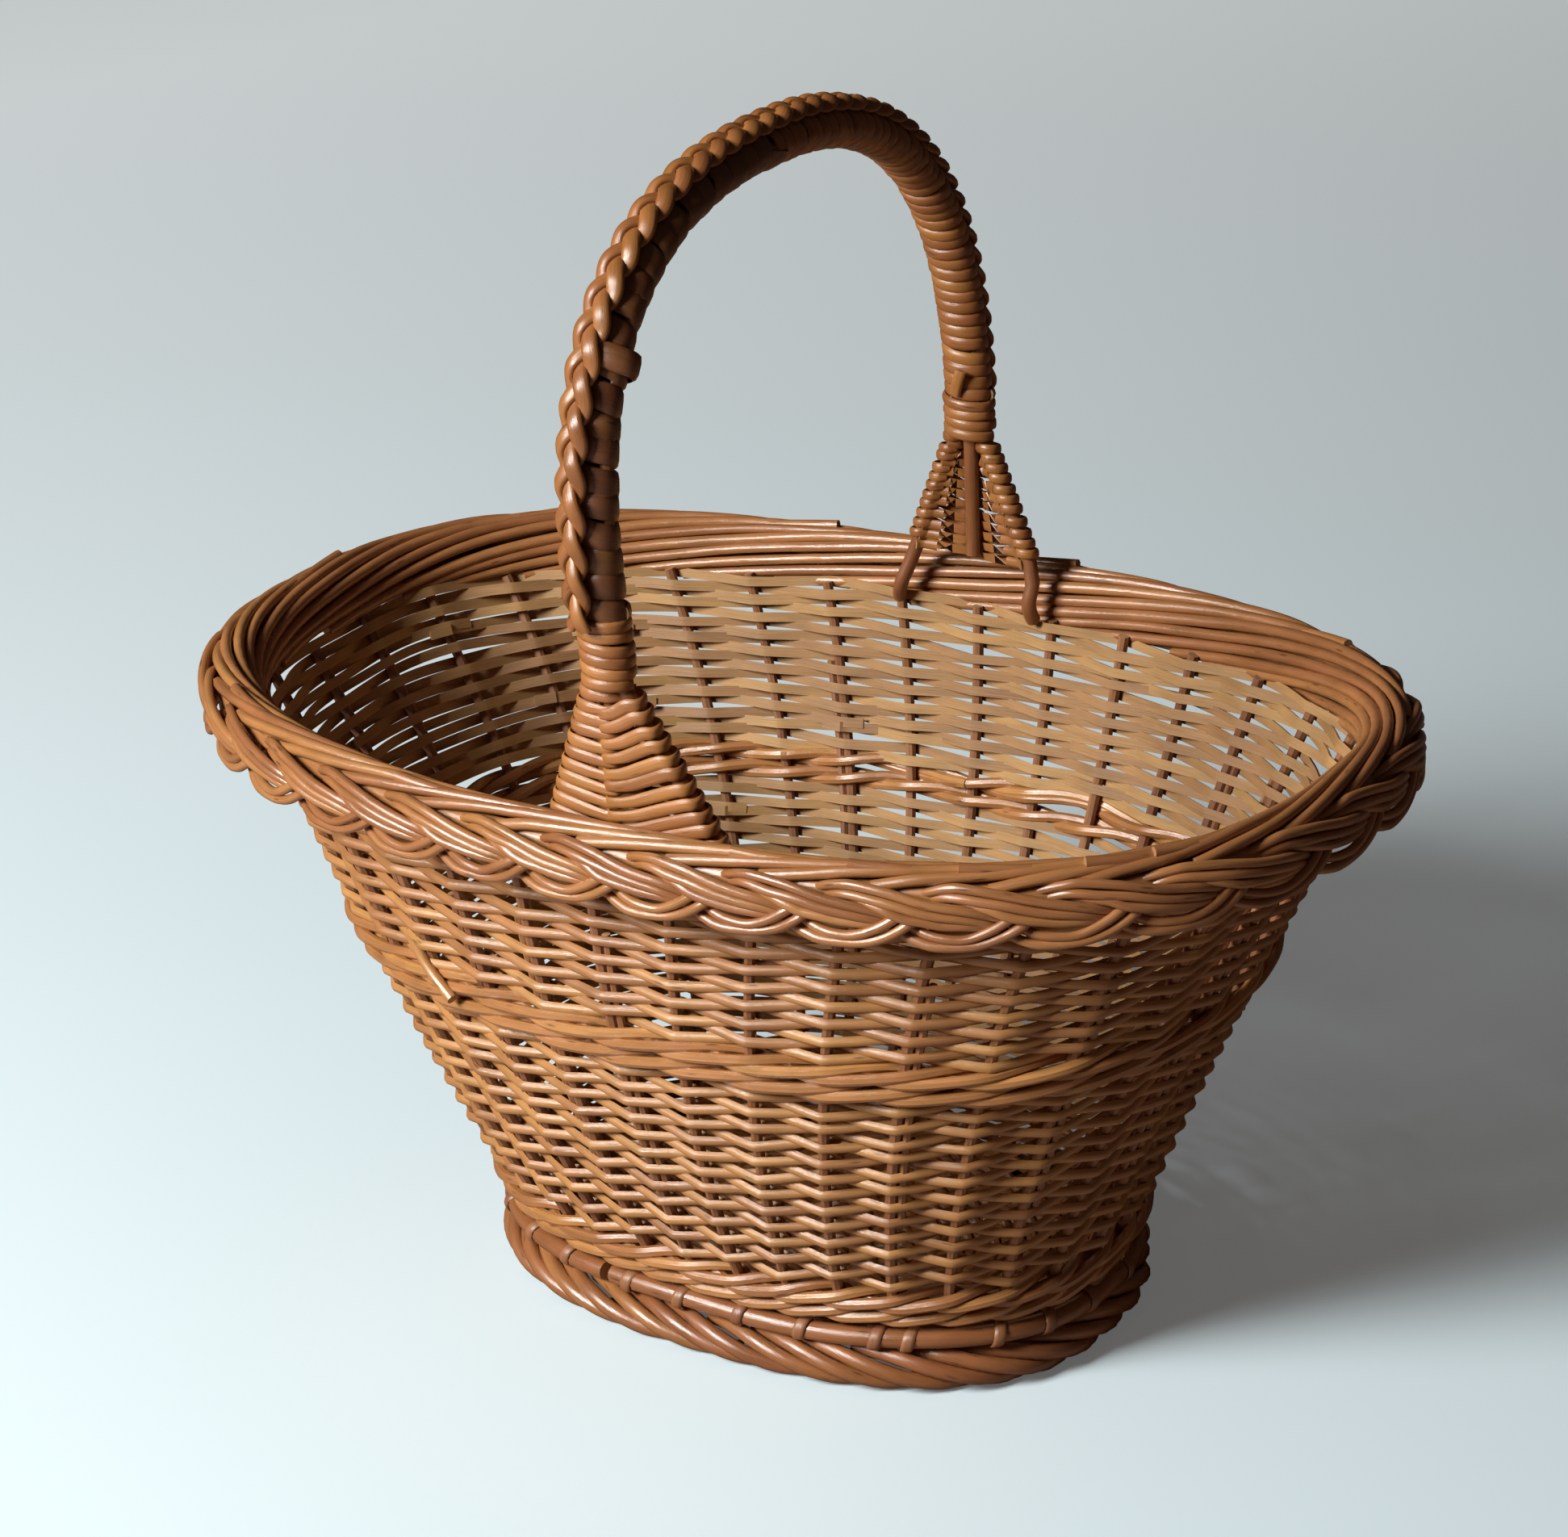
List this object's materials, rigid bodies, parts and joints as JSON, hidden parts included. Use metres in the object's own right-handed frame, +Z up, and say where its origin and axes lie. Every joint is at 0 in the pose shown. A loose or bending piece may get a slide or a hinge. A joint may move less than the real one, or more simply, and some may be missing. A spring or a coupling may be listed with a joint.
{
  "type": "woven wicker basket",
  "caption": "Oval basket of woven split willow with a plaited border, rolled foot and fixed skein-wrapped bow handle, for carrying goods",
  "frame": {"origin": "on the floor under the middle of the basket", "axes": "+X along the length, +Y across it in the plane of the handle bow, +Z up"},
  "size_m": [0.4474, 0.294, 0.4311],
  "materials": {
    "willow_rod": "satin",
    "split_willow": "satin",
    "willow_skein": "satin"
  },
  "bodies": {
    "root": {"base_cross_sticks": "willow_rod", "base_hoop": "willow_rod", "base_long_sticks": "willow_rod", "base_weave_lower": "willow_rod", "base_weave_upper": "willow_rod", "border_rail_1": "willow_rod", "border_rail_2": "willow_rod", "border_rail_3": "willow_rod", "border_strands": "willow_rod", "braid_left_skein": "willow_skein", "braid_right_skein": "willow_skein", "far_collar": "willow_skein", "far_fan_skein": "willow_skein", "far_wrap": "willow_skein", "foot_rods": "willow_rod", "handle_left_rod": "willow_rod", "handle_middle_rod": "willow_rod", "handle_right_rod": "willow_rod", "hoop_lashings": "willow_skein", "lower_weaver_01": "split_willow", "lower_weaver_02": "split_willow", "lower_weaver_03": "split_willow", "lower_weaver_04": "split_willow", "lower_weaver_05": "split_willow", "lower_weaver_06": "split_willow", "lower_weaver_07": "split_willow", "lower_weaver_08": "split_willow", "lower_weaver_09": "split_willow", "lower_weaver_10": "split_willow", "lower_weaver_11": "split_willow", "middle_wale_1": "willow_rod", "middle_wale_2": "willow_rod", "middle_wale_3": "willow_rod", "near_collar": "willow_skein", "near_fan_skein": "willow_skein", "near_wrap": "willow_skein", "stakes": "willow_rod", "upper_weaver_01": "split_willow", "upper_weaver_02": "split_willow", "upper_weaver_03": "split_willow", "upper_weaver_04": "split_willow", "upper_weaver_05": "split_willow", "upper_weaver_06": "split_willow", "upsett_wale_1": "willow_rod", "upsett_wale_2": "willow_rod", "upsett_wale_3": "willow_rod"}
  },
  "joints": []
}
